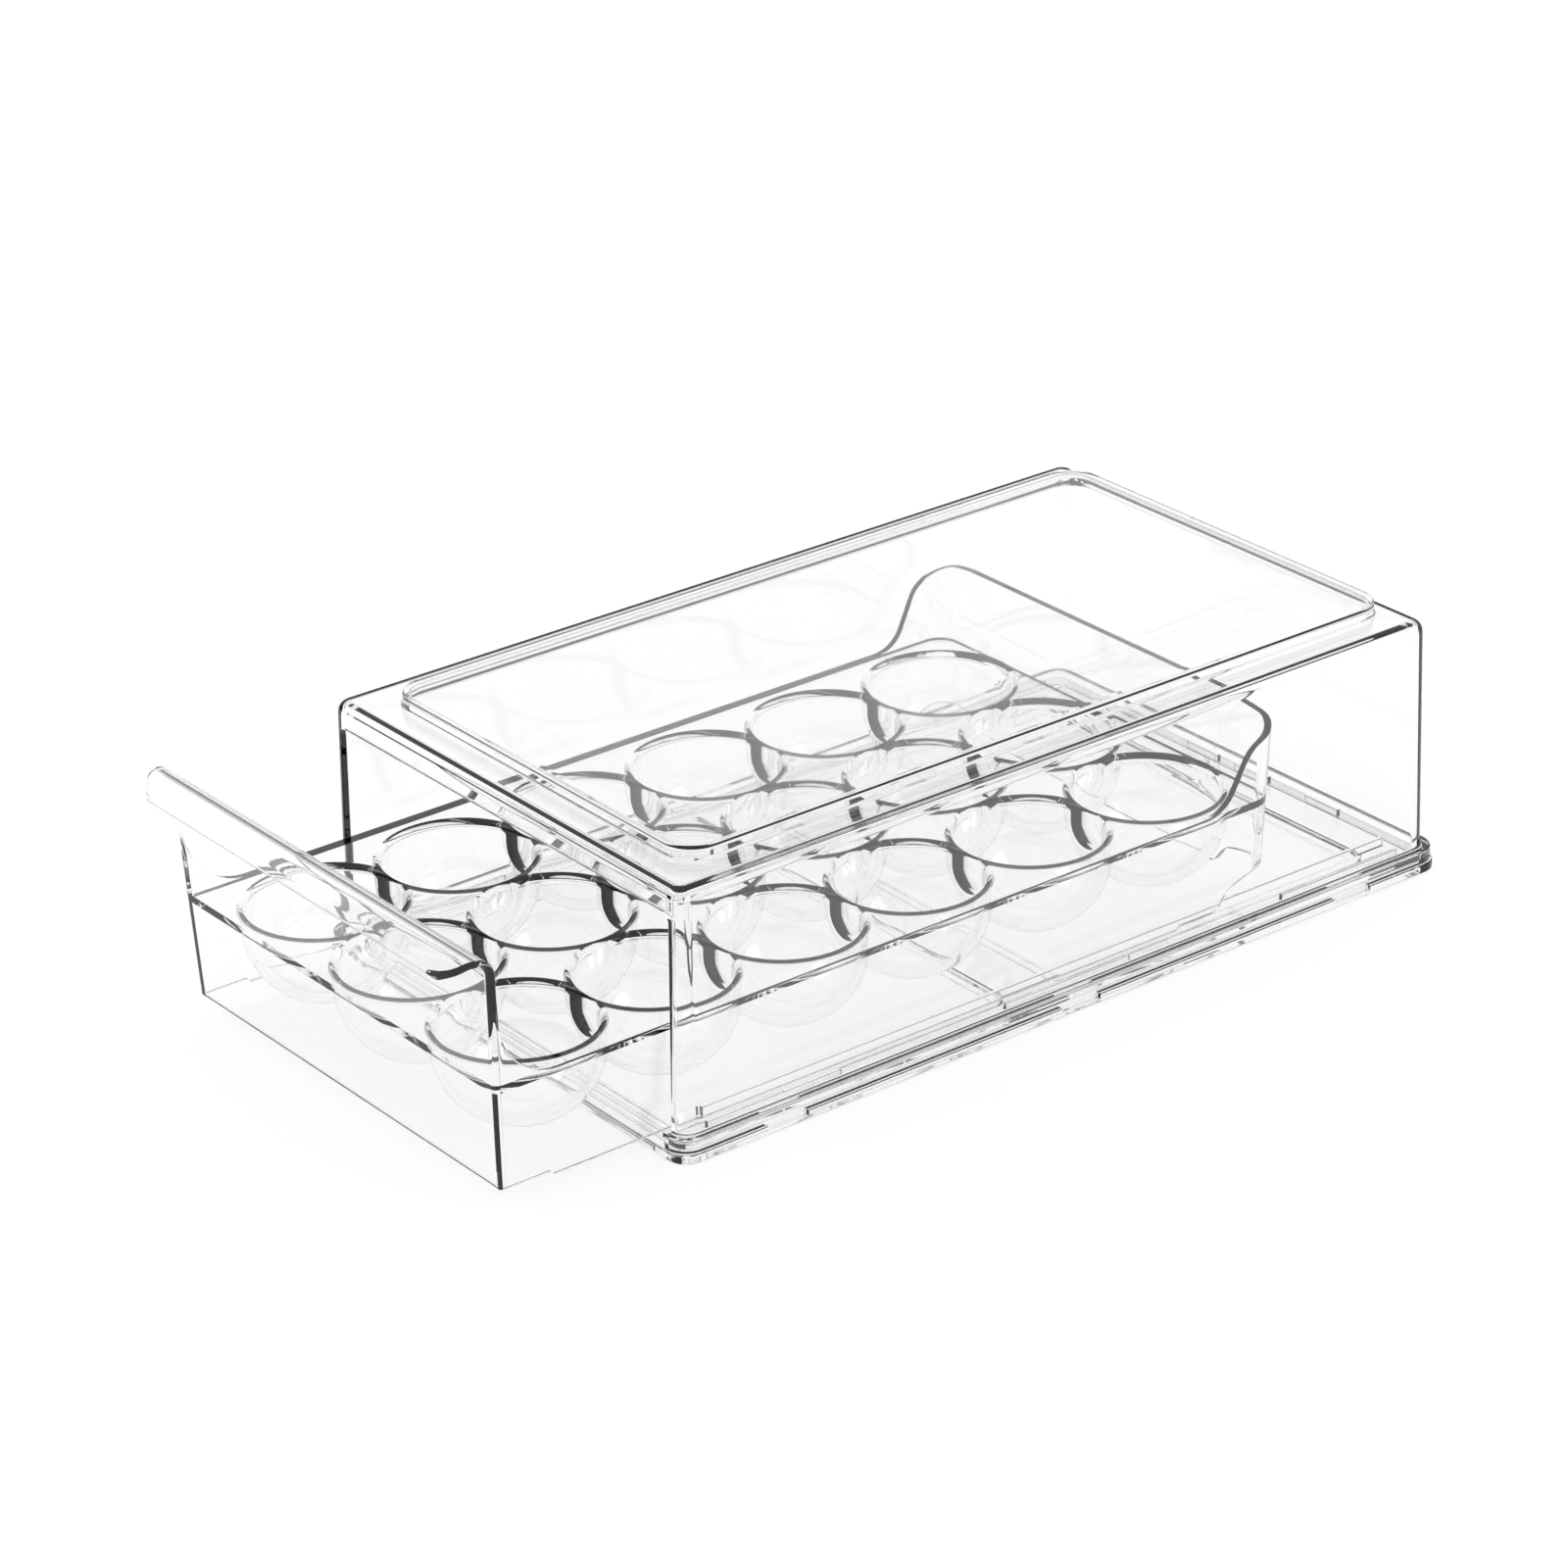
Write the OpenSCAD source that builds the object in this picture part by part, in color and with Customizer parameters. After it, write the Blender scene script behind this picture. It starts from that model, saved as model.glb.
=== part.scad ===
// Drawer-type egg holder in clear plastic: a shell cover that snaps onto an open
// base frame, and a floorless egg drawer that slides in and out between them.
// Units are millimetres, +Z is up, -Y is the front that the drawer comes out of.
// The origin is on the underside of the base frame's front bar, at mid width.

/* [Housing cover] */
// Width of the cover at its shoulder
cover_w = 182.5; // [182:0.5:186]
// Length of the cover at its shoulder, front to back
cover_l = 308.2; // [308:0.2:312]
// Height of the shoulder above the table
shoulder_h = 89.2; // [88.5:0.1:92]
// Wall thickness of the cover
cover_t = 2.65; // [2.2:0.05:2.9]
// Outward slope of the cover walls, millimetres per millimetre down
cover_draft = 0.016; // [0.01:0.001:0.018]
// Radius of the upright corners of the cover
cover_corner_r = 5; // [4.5:0.5:6]
// Radius along the top edges of the cover
cover_edge_r = 4; // [3.5:0.5:4.5]
// Height of the raised stacking platform above the shoulder
platform_h = 4.4; // [3:0.1:5]
// Corner radius of the stacking platform
platform_r = 11; // [8:0.5:14]
// Shoulder left at each side of the platform
platform_side = 13.2; // [12:0.1:16]
// Shoulder left in front of the platform
platform_front = 13.5; // [10:0.5:20]
// Shoulder left behind the platform
platform_back = 6.3; // [5.5:0.1:10]
// Depth of the header lip across the top of the mouth, below the shoulder
header_h = 8.6; // [7:0.1:8.7]
// Half width of the mouth between the two jambs
mouth_half_w = 86.6; // [86.5:0.1:87]

/* [Base frame] */
// Width of the base frame's foot rim
base_w = 192.2; // [192:0.2:194]
// Length of the base frame's foot rim
base_l = 317.4; // [317:0.2:319]
// Height of the foot rim, where the cover's foot stands on it
rim_h = 3.2; // [2.8:0.1:3.4]
// Height of the deck that the drawer slides on
slide_z = 6; // [5.8:0.1:6]
// Half width of the two large openings
opening_half_w = 78; // [70:1:78]
// Width of the cross bar between the openings
bar_w = 23.5; // [18:0.5:30]
// Distance of the cross bar's centre behind the middle of the frame
bar_offset = -8.3; // [-15:0.1:10]
// Length of one long snap arm at the side
snap_arm_l = 52; // [40:1:60]
// Length of the snap tongue in the middle of each side arm
tongue_l = 15.5; // [12:0.5:20]
// Distance between snap arms along a side
snap_pitch = 118; // [100:1:120]

/* [Egg drawer] */
// Width of the drawer at the bottom of its skirts
drawer_w = 165.4; // [164:0.2:165.6]
// Length of the drawer at the bottom of its skirts
drawer_l = 308.2; // [307.6:0.2:308.4]
// How far the drawer stands out of the housing
drawer_out = 61.3; // [60.5:0.1:70]
// Wall thickness of the drawer
drawer_t = 2.4; // [2:0.1:2.6]
// Outward slope of the side walls, millimetres per millimetre up
side_draft = 0.05; // [0.04:0.002:0.05]
// Forward lean of the front panel, millimetres per millimetre up
front_lean = 0.043; // [0.03:0.001:0.05]
// Height of the deck that the cups hang from
deck_z = 43; // [42:0.1:44]
// Thickness of the deck
deck_t = 2.7; // [2.2:0.1:3]
// Height of the rear wall's top edge
rear_wall_z = 71; // [66:0.5:72]
// Corner radius of the rear wall
rear_corner_r = 10; // [8:0.5:12]

/* [Egg cups] */
// Distance between cups across the drawer
pitch_x = 51.75; // [51.5:0.05:52]
// Distance between cups along the drawer
pitch_y = 50; // [49.9:0.05:50]
// Inner radius of a cup
cup_r = 24.4; // [23.5:0.1:24.5]
// Wall thickness of a cup
cup_t = 1.8; // [1.5:0.1:1.9]
// Height of the centre of a cup's round bottom
cup_mid_z = 36; // [35.5:0.1:37]
// Radius of the rounded rim of a cup
cup_rim_r = 2.2; // [1.5:0.1:2.2]

/* [Grip lip] */
// Height where the front panel starts to curl forward
curl_z = 80.9; // [80:0.1:82]
// Outer radius of the curl
curl_r = 7.2; // [6:0.1:7.5]
// Angle that the curl turns through before it runs out straight
curl_turn = 118; // [110:1:130]
// Length of the straight part of the lip
lip_run = 5; // [3:0.5:6]
// Length of the flared tip of the lip
lip_tip = 2.4; // [1.5:0.1:3]
// Corner radius at the two ends of the lip, seen from above
lip_corner_r = 11; // [5:0.5:12]

/* [Hidden] */
ROWS = 6;
COLUMNS = 3;
CUP_NODES = [
    for (row = [1:ROWS], column = [1:COLUMNS]) str("egg_cup_row", row, "_", column)
];

clear_plastic = [0.93, 0.95, 0.96, 0.45];
round_fn = 32;
fine_fn = 96;
eps = 0.01;
reach = 400;

// Housing
half_w = cover_w / 2;
half_l = cover_l / 2;
foot_top_z = 8.2;
foot_out = 3.1;
foot_half_w = half_w + cover_draft * (shoulder_h - foot_top_z) + foot_out - 0.2;
foot_half_l = half_l + cover_draft * (shoulder_h - foot_top_z) + foot_out - 0.2;
foot_ledge_z = slide_z + 0.3;
foot_inner_gap = 0.2;
mouth_top_z = shoulder_h - header_h;
mouth_corner_r = 3;
edge_z = shoulder_h - cover_edge_r;
platform_under_z = shoulder_h + platform_h - cover_t;
mouth_back = -half_l + cover_corner_r;
mitre_y = half_l - half_w;

// Base frame
rim_w = 6.2;
mid_y = base_l / 2 - rim_w / 2;
plate_z = 3;
lip_z = 1;
lip_t = 2.2;
plate_half_w = foot_half_w - cover_t - foot_inner_gap;
plate_half_l = foot_half_l - cover_t - foot_inner_gap;
front_bar_l = 4.4;
rear_flange_l = 18.2;
front_bar_back = -half_l + front_bar_l;
rear_flange_front = half_l - rear_flange_l;
bar_front = bar_offset - bar_w / 2;
bar_back = bar_offset + bar_w / 2;
guide_w = 1.8;
guide_h = 3;
guide_l = cover_l - 22;
guide_shift = 3;
snap_arm_t = 1.6;
snap_arm_h = 2.5;
snap_arm_gap = 4.4;
rear_arm_gap = 0.5;
rear_arm_l = 16;
rear_arm_x = [-46, -12, 12, 46];
tongue_drop = 1.7;
tongue_gap = 0.2;

// Drawer
skirt_gap = 0.3;
skirt_z = slide_z + skirt_gap;
panel_z = 7.7;
drawer_front = -half_l - drawer_out;
drawer_rear = drawer_front + drawer_l;
rear_draft = 0.02;
rear_split = drawer_rear - rear_corner_r - 6;
plate_y = drawer_rear - drawer_t;
step_slope = 1.4;
front_step = 18.5;
rear_step = 41;
rear_step_z = skirt_z + 1.2;
sweep_l = 22;
sweep_z = 68;
rise_start = 27;
rise_angle = 64;
rise_low_r = 7;
rise_high_r = 9;
rise_top_z = 65.8;
cut_l = 25;
rear_low_z = 9.2;
corner_low_z = 18.5;
rear_foot_half = 55;
first_row = drawer_front + 30.3;

function side_x(z) = drawer_w / 2 + side_draft * (z - skirt_z);
function front_y(z) = drawer_front - front_lean * (z - panel_z);
function rear_y(z) = drawer_rear + rear_draft * (z - skirt_z);
function arc(c, r, a0, a1, n) = [
    for (i = [0:n]) c + r * [cos(a0 + (a1 - a0) * i / n), sin(a0 + (a1 - a0) * i / n)]
];

// ---------- shared shapes ----------

// Every node is drawn about the middle of the housing and placed from there
module placed() {
    translate([0, mid_y, 0]) children();
}

// Flat rounded rectangle, centred on the origin
module rounded_rect(hw, hl, r) {
    square([2 * hw, 2 * (hl - r)], center = true);
    square([2 * (hw - r), 2 * hl], center = true);
    for (x = [-1, 1], y = [-1, 1]) {
        translate([x * (hw - r), y * (hl - r)]) circle(r, $fn = fine_fn);
    }
}

// A side view drawn as (y, z) and extruded across the width, from x0 to x1
module across(x0, x1) {
    translate([x0, 0, 0]) rotate([90, 0, 90]) linear_extrude(x1 - x0) children();
}

// A front view drawn as (x, z) and extruded along the length, from y0 to y1
module along(y0, y1) {
    translate([0, y1, 0]) rotate([90, 0, 0]) linear_extrude(y1 - y0) children();
}

// ---------- housing cover ----------

// Cover's outer form, shrunk by inset on every side
module cover_form(inset, z0) {
    flare = cover_draft * (shoulder_h - z0);
    top_r = cover_edge_r - inset / 2;
    hull() {
        for (x = [-1, 1], y = [-1, 1]) {
            translate([x * (half_w - inset + flare - cover_corner_r),
                       y * (half_l - inset + flare - cover_corner_r), z0])
                cylinder(h = eps, r = cover_corner_r, $fn = round_fn);
            translate([x * (half_w - inset - top_r),
                       y * (half_l - inset - top_r), shoulder_h - inset - top_r])
                sphere(top_r, $fn = round_fn);
        }
    }
}

// Raised platform, or its hollow when inset is the wall thickness
module platform_form(inset, z0) {
    r = platform_r - inset;
    y0 = -half_l + platform_front + platform_r;
    y1 = half_l - platform_back - platform_r;
    top = shoulder_h + platform_h - inset;
    soft = 0.8;
    hull() {
        for (x = [-1, 1], y = [y0, y1]) {
            translate([x * (half_w - platform_side - platform_r), y, z0]) {
                cylinder(h = top - soft - z0, r = r, $fn = round_fn);
                cylinder(h = top - z0, r = r - soft, $fn = round_fn);
            }
        }
    }
}

// Outward foot that stands on the base frame's rim
module foot_form() {
    translate([0, 0, rim_h]) linear_extrude(foot_top_z - rim_h)
        rounded_rect(foot_half_w, foot_half_l, cover_corner_r + 2);
    for (x = [-1, 1], i = [-1, 0, 1]) {
        translate([x * (foot_half_w - cover_t / 2), i * snap_pitch, rim_h - tongue_drop / 2 + eps])
            cube([cover_t, tongue_l, tongue_drop + 2 * eps], center = true);
    }
}

module mouth() {
    z0 = -eps;
    along(-half_l - 20, -half_l + 2 * cover_corner_r + 2) {
        translate([-mouth_half_w, z0])
            square([2 * mouth_half_w, mouth_top_z - mouth_corner_r - z0]);
        translate([-mouth_half_w + mouth_corner_r, z0])
            square([2 * (mouth_half_w - mouth_corner_r), mouth_top_z - z0]);
        for (x = [-1, 1]) {
            translate([x * (mouth_half_w - mouth_corner_r), mouth_top_z - mouth_corner_r])
                circle(mouth_corner_r, $fn = fine_fn);
        }
    }
}

// The whole cover as one shell
module cover_shell() {
    difference() {
        union() {
            cover_form(0, foot_top_z - 1);
            platform_form(0, shoulder_h - 5);
            foot_form();
        }
        cover_form(cover_t, rim_h - 2);
        platform_form(cover_t, shoulder_h - 5);
        translate([0, 0, rim_h - 4]) linear_extrude(foot_ledge_z - rim_h + 4)
            rounded_rect(foot_half_w - cover_t, foot_half_l - cover_t, cover_corner_r);
        mouth();
    }
}

// Outline of the back end between two mitres, seen from above
module back_mitre() {
    polygon([[0, mitre_y], [reach, reach + mitre_y], [-reach, reach + mitre_y]]);
}

// The cover between two heights, inside an outline seen from above
module cover_part(z0, z1) {
    color(clear_plastic) placed() intersection() {
        cover_shell();
        translate([0, 0, z0]) linear_extrude(z1 - z0) children();
    }
}

module cover_platform() {
    color(clear_plastic) placed() intersection() {
        platform_form(0, edge_z);
        translate([-reach / 2, -reach / 2, platform_under_z]) cube([reach, reach, platform_h]);
    }
}

// The shoulder and its rounded edge, cut in mitres at the four corners
module cover_shoulder_sides() {
    cover_part(edge_z, platform_under_z) for (x = [-1, 1]) {
        scale([x, 1]) polygon([
            [0, -mitre_y], [reach, -reach - mitre_y], [reach, reach + mitre_y], [0, mitre_y]
        ]);
    }
}

module cover_shoulder_ends() {
    cover_part(edge_z, platform_under_z) for (y = [-1, 1]) {
        scale([1, y]) back_mitre();
    }
}

// The cover's walls between its foot and its rounded top edge, inside an outline seen from above
module cover_wall() {
    color(clear_plastic) placed() difference() {
        intersection() {
            cover_form(0, foot_top_z - 1);
            translate([0, 0, foot_top_z]) linear_extrude(edge_z - foot_top_z) children();
        }
        cover_form(cover_t, rim_h - 2);
        mouth();
    }
}

// Side walls and back wall meet in mitres at the rear corners
module cover_side(side) {
    cover_wall() scale([side, 1])
        polygon([[0, mouth_back], [reach, mouth_back], [reach, reach + mitre_y], [0, mitre_y]]);
}

module cover_side_left() {
    cover_side(-1);
}

module cover_side_right() {
    cover_side(1);
}

module cover_back() {
    cover_wall() back_mitre();
}

// Two jambs with their rounded corners and the header between them
module cover_mouth_frame() {
    cover_wall()
        translate([-reach / 2, mouth_back - reach]) square(reach);
}

module cover_foot() {
    cover_part(0, foot_top_z) square(reach, center = true);
}

// ---------- base frame ----------

module base_opening(y0, y1, grow) {
    translate([-opening_half_w - grow, y0 - grow])
        square([2 * (opening_half_w + grow), y1 - y0 + 2 * grow]);
}

module base_openings(grow) {
    base_opening(front_bar_back, bar_front, grow);
    base_opening(bar_back, rear_flange_front, grow);
}

module base_rim() {
    color(clear_plastic) placed() difference() {
        linear_extrude(rim_h) rounded_rect(base_w / 2, base_l / 2, cover_corner_r + 2.5);
        translate([0, 0, -1]) linear_extrude(rim_h + 2)
            rounded_rect(base_w / 2 - rim_w, base_l / 2 - rim_w, cover_corner_r);
        translate([0, 0, plate_z]) linear_extrude(rim_h)
            rounded_rect(plate_half_w, plate_half_l, cover_corner_r);
        for (x = [-1, 1], i = [-1, 0, 1]) {
            translate([x * foot_half_w, i * snap_pitch, rim_h])
                cube([2 * (cover_t + tongue_gap), tongue_l + 2 * tongue_gap,
                      2 * tongue_drop + tongue_gap], center = true);
        }
    }
}

// Plate that the drawer slides on, with a lip hanging round each opening
module base_plate() {
    color(clear_plastic) placed() {
        difference() {
            translate([0, 0, plate_z]) linear_extrude(slide_z - plate_z)
                rounded_rect(plate_half_w, plate_half_l, cover_corner_r);
            translate([0, 0, plate_z - 1]) linear_extrude(slide_z)
                base_openings(0);
        }
        difference() {
            translate([0, 0, lip_z]) linear_extrude(plate_z - lip_z + eps)
                base_openings(lip_t);
            translate([0, 0, lip_z - 1]) linear_extrude(plate_z + 2)
                base_openings(0);
            translate([0, bar_offset, 0])
                cube([2 * opening_half_w, bar_w - 2 * lip_t, 2 * plate_z], center = true);
        }
    }
}

module base_guides() {
    color(clear_plastic) placed() for (x = [-1, 1]) {
        translate([x * (opening_half_w + guide_w / 2), guide_shift, slide_z + guide_h / 2])
            cube([guide_w, guide_l, guide_h], center = true);
    }
}

module base_snap_arms() {
    arm_x = side_x(slide_z) + snap_arm_gap;
    arm_y = half_l - cover_t - snap_arm_t - rear_arm_gap;
    color(clear_plastic) placed() {
        for (x = [-1, 1], i = [-1, 0, 1]) {
            translate([x * (arm_x + snap_arm_t / 2), i * snap_pitch, slide_z + snap_arm_h / 2])
                cube([snap_arm_t, snap_arm_l, snap_arm_h], center = true);
        }
        for (x = rear_arm_x) {
            translate([x, arm_y + snap_arm_t / 2, slide_z + snap_arm_h / 2])
                cube([rear_arm_l, snap_arm_t, snap_arm_h], center = true);
        }
    }
}

// ---------- egg drawer ----------

// Drawer's outer form between two heights, shrunk by inset; only the rear corners are round
module drawer_form(inset, z0, z1) {
    r = rear_corner_r - inset;
    hull() {
        for (z = [z0, z1], x = [-1, 1]) {
            translate([x * (side_x(z) - inset - r), rear_y(z) - inset - r, z])
                cylinder(h = eps, r = r, $fn = round_fn);
            translate([x * (side_x(z) - inset) - (x > 0 ? 1 : 0), front_y(z) + inset, z])
                cube([1, 1, eps]);
        }
    }
}

// Front panel and curled grip lip as one bent sheet, seen from the side
module panel_profile() {
    c = [front_y(curl_z) + drawer_t - curl_r, curl_z];
    a = curl_turn;
    inner_r = curl_r - drawer_t;
    down = a + 90;
    run = lip_run * [cos(down), sin(down)];
    tip_dir = down - 14;
    tip = lip_tip * [cos(tip_dir), sin(tip_dir)];
    top_end = c + curl_r * [cos(a), sin(a)];
    low_end = c + inner_r * [cos(a), sin(a)];
    polygon(concat(
        [[front_y(panel_z), panel_z], [front_y(panel_z) + drawer_t, panel_z]],
        arc(c, curl_r, 0, a, 16),
        [top_end + run, top_end + run + tip, low_end + run + tip, low_end + run],
        arc(c, inner_r, a, 0, 16)
    ));
}

// Plan of the panel and its lip: straight sides with rounded corners at the lip's ends
module lip_plan() {
    hw = side_x(curl_z);
    tip_angle = curl_turn - 90;
    tip_y = front_y(curl_z) + drawer_t - curl_r * (1 + sin(tip_angle))
        - lip_run * cos(tip_angle) - lip_tip * cos(tip_angle - 14);
    back_y = tip_y + 60;
    translate([-hw, tip_y + lip_corner_r])
        square([2 * hw, back_y - tip_y - lip_corner_r]);
    translate([-hw + lip_corner_r, tip_y])
        square([2 * (hw - lip_corner_r), back_y - tip_y]);
    for (x = [-1, 1]) {
        translate([x * (hw - lip_corner_r), tip_y + lip_corner_r])
            circle(lip_corner_r, $fn = fine_fn);
    }
}

module front_panel() {
    top = curl_z + curl_r + 1;
    color(clear_plastic) placed() intersection() {
        across(-reach, reach) panel_profile();
        along(drawer_front - 60, drawer_front + 60) polygon([
            [-side_x(0), 0], [side_x(0), 0], [side_x(curl_z), curl_z], [side_x(curl_z), top],
            [-side_x(curl_z), top], [-side_x(curl_z), curl_z]
        ]);
        linear_extrude(reach) lip_plan();
    }
}

// Top edge behind the front panel: a quarter ellipse down to the deck
function front_sweep() = let (y = front_y(sweep_z) + drawer_t, drop = sweep_z - deck_z) [
    for (i = [0:10]) [y + sweep_l * (1 - cos(9 * i)), sweep_z - drop * sin(9 * i)]
];

// Top edge at the rear: an S-curve up from the deck, then a short climb round the corner
function rear_rise() = let (
    foot = [drawer_rear - rise_start, deck_z + rise_low_r],
    low_end = foot + rise_low_r * [sin(rise_angle), -cos(rise_angle)],
    head_z = rise_top_z - rise_high_r,
    run = (head_z + rise_high_r * cos(rise_angle) - low_end[1]) / tan(rise_angle),
    head = [low_end[0] + run + rise_high_r * sin(rise_angle), head_z]
) concat(
    arc(foot, rise_low_r, -90, rise_angle - 90, 6),
    arc(head, rise_high_r, 90 + rise_angle, 90, 6),
    [[drawer_rear - 2.8, 68], [rear_y(rear_wall_z) - drawer_t, rear_wall_z]]
);

// Rising lower edge at the rear corner, from the back towards the skirt
function rear_cut() = let (y0 = drawer_rear - cut_l) [
    [y0 + 19, corner_low_z], [y0 + 14, 16.7], [y0 + 9, 15], [y0 + 6, 13.6], [y0 + 3.6, 11],
    [y0 + 1.6, rear_step_z + 0.9], [y0, rear_step_z],
    [drawer_rear - rear_step + step_slope, rear_step_z]
];

// Outline of a side wall and the ends of the rear wall, seen from the side
module side_outline() {
    behind = drawer_rear + 5;
    polygon(concat(
        [[front_y(panel_z) + drawer_t, panel_z]],
        front_sweep(),
        rear_rise(),
        [[behind, rear_wall_z], [behind, 0], [plate_y, 0], [plate_y, corner_low_z]],
        rear_cut(),
        [[drawer_rear - rear_step, skirt_z], [drawer_front + front_step + step_slope, skirt_z],
         [drawer_front + front_step, panel_z]]
    ));
}

module side_wall_right() {
    color(clear_plastic) placed() intersection() {
        along(drawer_front - 20, rear_split) polygon([
            [side_x(0) - drawer_t, 0], [side_x(0), 0],
            [side_x(rear_wall_z), rear_wall_z], [side_x(rear_wall_z) - drawer_t, rear_wall_z]
        ]);
        across(0, reach) side_outline();
    }
}

module side_wall_left() {
    mirror([1, 0, 0]) side_wall_right();
}

// Space under the rear wall, seen from the back: low in the middle, an arch near each corner
module below_rear_wall() {
    half = [
        [rear_foot_half, rear_low_z], [rear_foot_half + 3, 12], [rear_foot_half + 6.5, 16],
        [rear_foot_half + 10, 17], [rear_foot_half + 17, corner_low_z], [reach, corner_low_z],
        [reach, -1]
    ];
    polygon(concat(half, [for (i = [len(half) - 1:-1:0]) [-half[i][0], half[i][1]]]));
}

module rear_wall() {
    z_top = rear_wall_z + 1;
    color(clear_plastic) placed() difference() {
        intersection() {
            difference() {
                drawer_form(0, 0, z_top);
                drawer_form(drawer_t, -1, z_top + 1);
            }
            translate([-reach / 2, rear_split, 0]) cube([reach, 60, reach]);
            across(-reach, reach) side_outline();
        }
        along(plate_y - 0.1, drawer_rear + 20) below_rear_wall();
    }
}

// Half section of a cup's outside: round bottom and straight upper wall
module cup_section(r) {
    intersection() {
        union() {
            translate([0, cup_mid_z]) circle(r, $fn = fine_fn);
            translate([0, cup_mid_z]) square([r, deck_z - cup_mid_z]);
        }
        square([r, deck_z]);
    }
}

// Half section of the space inside a cup, opening out over its rounded rim
module cup_hollow_section() {
    rim_x = cup_r + cup_rim_r;
    rim_z = deck_z - cup_rim_r;
    intersection() {
        translate([0, cup_mid_z]) circle(cup_r, $fn = fine_fn);
        square([cup_r, deck_z]);
    }
    translate([0, cup_mid_z]) square([cup_r, deck_z - cup_mid_z + 1]);
    difference() {
        translate([0, rim_z]) square([rim_x, cup_rim_r + 1]);
        translate([rim_x, rim_z]) circle(cup_rim_r, $fn = fine_fn);
    }
}

// One cell of the deck with its cup; neighbouring cells meet face to face
module egg_cup(row, column) {
    x = (column - 2) * pitch_x;
    y = first_row + (row - 1) * pitch_y;
    x0 = column == 1 ? -reach / 2 : x - pitch_x / 2;
    x1 = column == COLUMNS ? reach / 2 : x + pitch_x / 2;
    y0 = row == 1 ? drawer_front - 20 : y - pitch_y / 2;
    y1 = row == ROWS ? drawer_rear + 20 : y + pitch_y / 2;
    color(clear_plastic) placed() difference() {
        intersection() {
            union() {
                translate([x, y, 0]) rotate_extrude($fn = fine_fn) cup_section(cup_r + cup_t);
                translate([x0, y0, deck_z - deck_t]) cube([x1 - x0, y1 - y0, deck_t]);
            }
            drawer_form(drawer_t, 0, deck_z + 2);
            translate([x0, y0, 0]) cube([x1 - x0, y1 - y0, deck_z + 1]);
        }
        translate([x, y, 0]) rotate_extrude($fn = fine_fn) cup_hollow_section();
    }
}

cover_platform();
cover_shoulder_sides();
cover_shoulder_ends();
cover_side_left();
cover_side_right();
cover_back();
cover_mouth_frame();
cover_foot();
base_rim();
base_plate();
base_guides();
base_snap_arms();
front_panel();
side_wall_left();
side_wall_right();
rear_wall();
for (row = [1:ROWS], column = [1:COLUMNS]) {
    egg_cup(row, column);
}
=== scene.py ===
"""Drawer-type egg holder in clear plastic: its looks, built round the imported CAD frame.

Each of the three mouldings is one closed mesh with rounded edges. Shapes are worked out in
millimetres in the frame's axes and scaled to metres when the mesh is made.
"""

import math

import bmesh
import bpy
import numpy as np
from mathutils import Matrix, Vector


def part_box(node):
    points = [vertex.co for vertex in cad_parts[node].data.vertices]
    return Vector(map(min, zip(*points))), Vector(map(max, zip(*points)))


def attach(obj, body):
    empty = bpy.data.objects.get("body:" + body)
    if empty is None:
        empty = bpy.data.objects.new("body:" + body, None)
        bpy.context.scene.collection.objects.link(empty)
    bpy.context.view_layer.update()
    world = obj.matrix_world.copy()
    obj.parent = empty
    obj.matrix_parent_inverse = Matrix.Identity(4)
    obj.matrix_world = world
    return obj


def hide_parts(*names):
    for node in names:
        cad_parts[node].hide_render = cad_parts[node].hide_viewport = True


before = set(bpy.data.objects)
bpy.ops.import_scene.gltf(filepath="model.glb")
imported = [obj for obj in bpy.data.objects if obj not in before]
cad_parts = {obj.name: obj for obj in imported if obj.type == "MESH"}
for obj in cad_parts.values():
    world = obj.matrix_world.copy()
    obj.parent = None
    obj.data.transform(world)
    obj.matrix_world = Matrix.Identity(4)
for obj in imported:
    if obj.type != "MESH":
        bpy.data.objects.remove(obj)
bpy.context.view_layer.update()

MM = 0.001
CORNER_STEPS = 10
CUP_STEPS = 96
LIP_STEPS = 5
CURL_STEPS = 24
PANEL_STEPS = 11
SWEEP_STEPS = 14
DECK_EDGE_STEPS = 12
REAR_CORNER_STEPS = 12
CUP_ARC_STEPS = 24
RIM_STEPS = 8
FILLET_STEPS = 6
FLAT_ANGLE = math.radians(32)

# Solids that are joined or cut reach this far past each other.
OVERLAP = 1


# ---------- sizes, from the frame ----------

def box_mm(node):
    """The lowest and highest corner of a node's box, in millimetres."""
    low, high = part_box(node)
    return low / MM, high / MM


BASE_LOW, BASE_HIGH = box_mm("base_rim")
GUIDE_TOP_Z = box_mm("base_guides")[1].z
FOOT_LOW, FOOT_HIGH = box_mm("cover_foot")
PLATFORM_TOP = box_mm("cover_platform")[1].z
PANEL_LOW, PANEL_HIGH = box_mm("front_panel")
REAR_HIGH = box_mm("rear_wall")[1]
WALL_LOW, WALL_HIGH = box_mm("side_wall_right")
CUP_LOW, CUP_HIGH = box_mm("egg_cup_row2_2")
ROWS = sum(1 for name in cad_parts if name.startswith("egg_cup") and name.endswith("_2"))
COLUMNS = 3

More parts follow.
